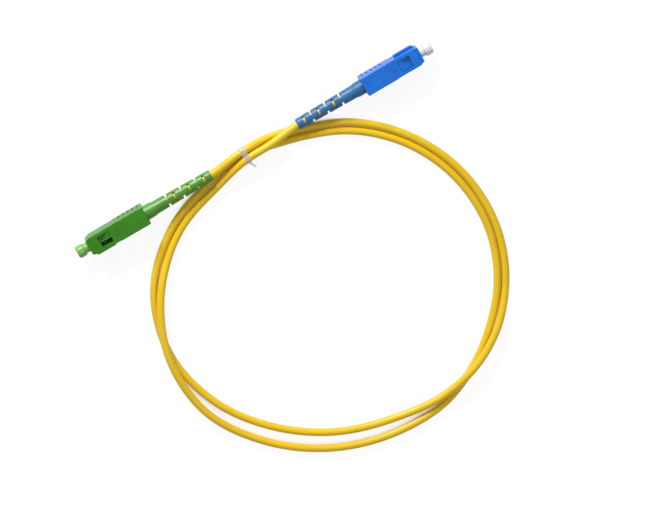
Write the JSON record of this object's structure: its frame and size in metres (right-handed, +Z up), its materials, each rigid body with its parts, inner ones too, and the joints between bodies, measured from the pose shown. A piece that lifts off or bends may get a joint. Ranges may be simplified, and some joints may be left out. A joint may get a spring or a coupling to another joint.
{
  "type": "fibre optic patch cord",
  "caption": "Simplex fibre optic patch cord in a loose two-turn loop, with a push-pull plug, segmented boot and dust cap at each end, held by a small clear tie.",
  "frame": {"origin": "on the resting surface, midway between the two connectors and under their common axis", "axes": "+X along both connectors towards the blue one, +Y away from the loop, +Z up"},
  "size_m": [0.156, 0.1319, 0.0092],
  "materials": {
    "jacket": "satin",
    "yarn": "fibrous",
    "white_plastic": "satin",
    "fibre_glass": "polished",
    "clear_tie": "translucent",
    "green_plastic": "semi-gloss",
    "blue_plastic": "semi-gloss",
    "green_rubber": "satin",
    "blue_rubber": "satin",
    "cap_green": "translucent",
    "cap_clear": "translucent",
    "zirconia": "polished",
    "flange_steel": "turned",
    "spring_steel": "drawn",
    "nickel": "nickel plated",
    "crimp_metal": "satin"
  },
  "bodies": {
    "cord": {"cable_jacket": "jacket", "aramid_yarn": "yarn", "tight_buffer": "white_plastic", "fibre_core": "fibre_glass", "cable_tie": "clear_tie", "green_plug_frame": "green_plastic", "green_stop_body": "nickel", "green_guide_tube": "white_plastic", "green_crimp_ring": "crimp_metal", "green_boot": "green_rubber", "green_spring": "spring_steel", "blue_plug_frame": "blue_plastic", "blue_stop_body": "nickel", "blue_guide_tube": "white_plastic", "blue_crimp_ring": "crimp_metal", "blue_boot": "blue_rubber", "blue_spring": "spring_steel"},
    "green_grip": {"green_grip": "green_plastic"},
    "green_ferrule": {"green_ferrule": "zirconia", "green_ferrule_flange": "flange_steel", "green_fibre_stub": "fibre_glass", "green_buffer_tail": "white_plastic"},
    "green_cap": {"green_dust_cap": "cap_green"},
    "blue_grip": {"blue_grip": "blue_plastic"},
    "blue_ferrule": {"blue_ferrule": "zirconia", "blue_ferrule_flange": "flange_steel", "blue_fibre_stub": "fibre_glass", "blue_buffer_tail": "white_plastic"},
    "blue_cap": {"blue_dust_cap": "cap_clear"}
  },
  "joints": [
    {"name": "green_grip_slide", "type": "slide", "parent": "cord", "child": "green_grip", "axis": [1, 0, 0], "range_m": [0, 0.0018]},
    {"name": "green_ferrule_float", "type": "slide", "parent": "cord", "child": "green_ferrule", "axis": [1, 0, 0], "range_m": [0, 0.0015], "stiffness_N_per_m": 4000, "deforming": ["green_spring"]},
    {"name": "green_cap_pull", "type": "slide", "parent": "green_ferrule", "child": "green_cap", "axis": [-1, 0, 0], "range_m": [0, 0.01]},
    {"name": "blue_grip_slide", "type": "slide", "parent": "cord", "child": "blue_grip", "axis": [-1, 0, 0], "range_m": [0, 0.0018]},
    {"name": "blue_ferrule_float", "type": "slide", "parent": "cord", "child": "blue_ferrule", "axis": [-1, 0, 0], "range_m": [0, 0.0015], "stiffness_N_per_m": 4000, "deforming": ["blue_spring"]},
    {"name": "blue_cap_pull", "type": "slide", "parent": "blue_ferrule", "child": "blue_cap", "axis": [1, 0, 0], "range_m": [0, 0.01]}
  ]
}
